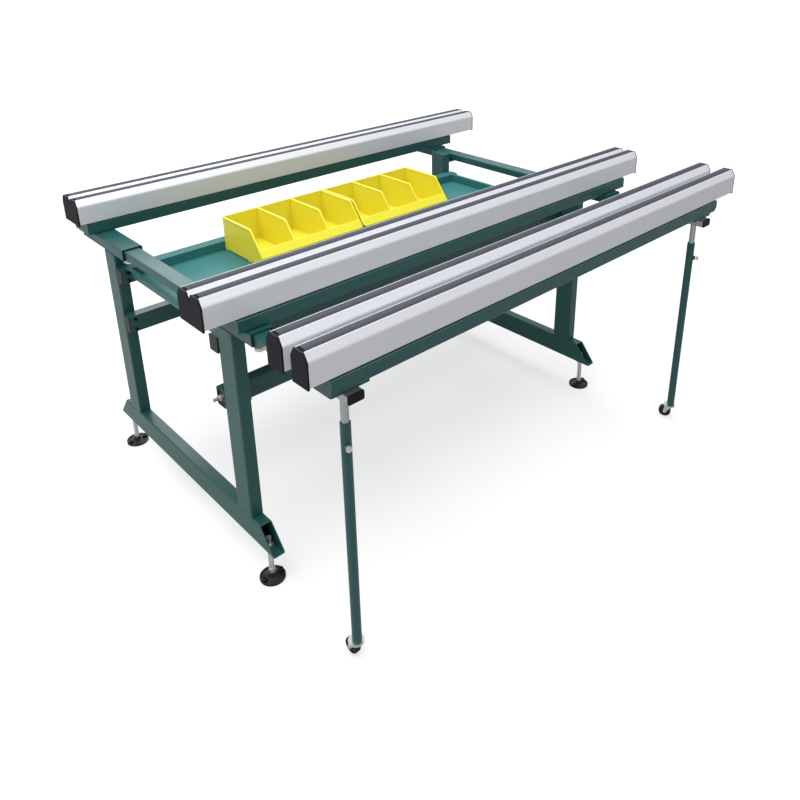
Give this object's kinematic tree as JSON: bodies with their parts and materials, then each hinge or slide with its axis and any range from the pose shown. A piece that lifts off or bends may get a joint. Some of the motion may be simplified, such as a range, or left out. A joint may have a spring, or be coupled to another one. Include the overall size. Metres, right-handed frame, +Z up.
{
  "type": "extending assembly workbench",
  "caption": "Assembly workbench with aluminium support profiles, trays and bins, whose front section slides out on telescopic tubes and rolling legs",
  "frame": {"origin": "middle of the overall outline, on the floor", "axes": "+X along the bench to the operator's right, +Y away from the operator, +Z up"},
  "size_m": [1.976, 1.494, 0.987],
  "materials": {
    "green_paint": "semi-gloss",
    "anodised_aluminium": "satin",
    "strip_rubber": "matte",
    "cap_plastic": "matte",
    "bin_plastic": "gloss",
    "zinc": "satin",
    "black_plastic": "matte",
    "wheel_rubber": "matte"
  },
  "bodies": {
    "frame": {"left_foot_beam": "green_paint", "right_foot_beam": "green_paint", "left_front_post": "green_paint", "left_rear_post": "green_paint", "right_front_post": "green_paint", "right_rear_post": "green_paint", "left_front_sleeve": "green_paint", "left_rear_sleeve": "green_paint", "right_front_sleeve": "green_paint", "right_rear_sleeve": "green_paint", "left_crossbeam": "green_paint", "right_crossbeam": "green_paint", "front_upper_stretcher": "green_paint", "rear_upper_stretcher": "green_paint", "front_lower_stretcher": "green_paint", "rear_lower_stretcher": "green_paint", "stretcher_end_plugs": "black_plastic", "stretcher_bolts": "zinc", "left_tray": "green_paint", "right_tray": "green_paint", "front_beam": "green_paint", "rear_beam": "green_paint", "front_profile_outer": "anodised_aluminium", "front_profile_inner": "anodised_aluminium", "rear_profile_inner": "anodised_aluminium", "rear_profile_outer": "anodised_aluminium", "bench_strips": "strip_rubber", "bench_end_caps": "cap_plastic", "foot_nuts": "zinc"},
    "extension": {"left_slide_tube": "zinc", "right_slide_tube": "zinc", "extension_beam": "green_paint", "extension_mount_plates": "green_paint", "extension_profile_front": "anodised_aluminium", "extension_profile_rear": "anodised_aluminium", "extension_strips": "strip_rubber", "extension_plastic_caps": "cap_plastic", "leg_inner_tubes": "zinc"},
    "left_leg": {"left_leg_tube": "green_paint"},
    "right_leg": {"right_leg_tube": "green_paint"},
    "left_leg_screw": {"left_leg_clamp": "zinc"},
    "right_leg_screw": {"right_leg_clamp": "zinc"},
    "left_caster": {"left_caster_fork": "zinc"},
    "right_caster": {"right_caster_fork": "zinc"},
    "left_wheel": {"left_caster_wheel": "wheel_rubber"},
    "right_wheel": {"right_caster_wheel": "wheel_rubber"},
    "left_bin_block": {"left_bins": "bin_plastic"},
    "right_bin_block": {"right_bins": "bin_plastic"},
    "left_front_foot": {"left_front_stem": "zinc", "left_front_pad": "black_plastic"},
    "left_front_screw": {"left_front_clamp": "zinc"},
    "left_rear_foot": {"left_rear_stem": "zinc", "left_rear_pad": "black_plastic"},
    "left_rear_screw": {"left_rear_clamp": "zinc"},
    "right_front_foot": {"right_front_stem": "zinc", "right_front_pad": "black_plastic"},
    "right_front_screw": {"right_front_clamp": "zinc"},
    "right_rear_foot": {"right_rear_stem": "zinc", "right_rear_pad": "black_plastic"},
    "right_rear_screw": {"right_rear_clamp": "zinc"}
  },
  "joints": [
    {"name": "extension_slide", "type": "slide", "parent": "frame", "child": "extension", "axis": [0, -1, 0], "range_m": [0, 1]},
    {"name": "left_leg_slide", "type": "slide", "parent": "extension", "child": "left_leg", "axis": [0, 0, 1], "range_m": [-0.1, 0.06]},
    {"name": "left_leg_screw_turn", "type": "hinge", "parent": "left_leg", "child": "left_leg_screw", "pos_m": [-0.836, -0.699, 0.687], "axis": [-0.4226, -0.9063, 0], "range_deg": [0, 720]},
    {"name": "left_caster_swivel", "type": "hinge", "parent": "left_leg", "child": "left_caster", "pos_m": [-0.836, -0.699, 0.05], "axis": [0, 0, 1], "continuous": true},
    {"name": "left_wheel_spin", "type": "hinge", "parent": "left_caster", "child": "left_wheel", "pos_m": [-0.836, -0.68, 0.023], "axis": [-1, 0, 0], "continuous": true},
    {"name": "right_leg_slide", "type": "slide", "parent": "extension", "child": "right_leg", "axis": [0, 0, 1], "range_m": [-0.1, 0.06]},
    {"name": "right_leg_screw_turn", "type": "hinge", "parent": "right_leg", "child": "right_leg_screw", "pos_m": [0.754, -0.699, 0.687], "axis": [0.4226, -0.9063, 0], "range_deg": [0, 720]},
    {"name": "right_caster_swivel", "type": "hinge", "parent": "right_leg", "child": "right_caster", "pos_m": [0.754, -0.699, 0.05], "axis": [0, 0, 1], "continuous": true},
    {"name": "right_wheel_spin", "type": "hinge", "parent": "right_caster", "child": "right_wheel", "pos_m": [0.74597, -0.68178, 0.023], "axis": [-0.9063, -0.4226, 0], "continuous": true},
    {"name": "left_front_foot_height", "type": "slide", "parent": "frame", "child": "left_front_foot", "axis": [0, 0, 1], "range_m": [-0.02, 0.02]},
    {"name": "left_front_screw_turn", "type": "hinge", "parent": "frame", "child": "left_front_screw", "pos_m": [-0.836, -0.337, 0.8], "axis": [0, 0, -1], "range_deg": [0, 720]},
    {"name": "left_rear_foot_height", "type": "slide", "parent": "frame", "child": "left_rear_foot", "axis": [0, 0, 1], "range_m": [-0.02, 0.02]},
    {"name": "left_rear_screw_turn", "type": "hinge", "parent": "frame", "child": "left_rear_screw", "pos_m": [-0.836, 0.476, 0.8], "axis": [0, 0, -1], "range_deg": [0, 720]},
    {"name": "right_front_foot_height", "type": "slide", "parent": "frame", "child": "right_front_foot", "axis": [0, 0, 1], "range_m": [-0.02, 0.02]},
    {"name": "right_front_screw_turn", "type": "hinge", "parent": "frame", "child": "right_front_screw", "pos_m": [0.754, -0.337, 0.8], "axis": [0, 0, -1], "range_deg": [0, 720]},
    {"name": "right_rear_foot_height", "type": "slide", "parent": "frame", "child": "right_rear_foot", "axis": [0, 0, 1], "range_m": [-0.02, 0.02]},
    {"name": "right_rear_screw_turn", "type": "hinge", "parent": "frame", "child": "right_rear_screw", "pos_m": [0.754, 0.623, 0.8], "axis": [0, 0, -1], "range_deg": [0, 720]},
    {"name": "left_bins_slide", "type": "slide", "parent": "frame", "child": "left_bin_block", "axis": [1, 0, 0], "range_m": [-0.3, 0]},
    {"name": "right_bins_slide", "type": "slide", "parent": "frame", "child": "right_bin_block", "axis": [1, 0, 0], "range_m": [0, 0.27]}
  ]
}
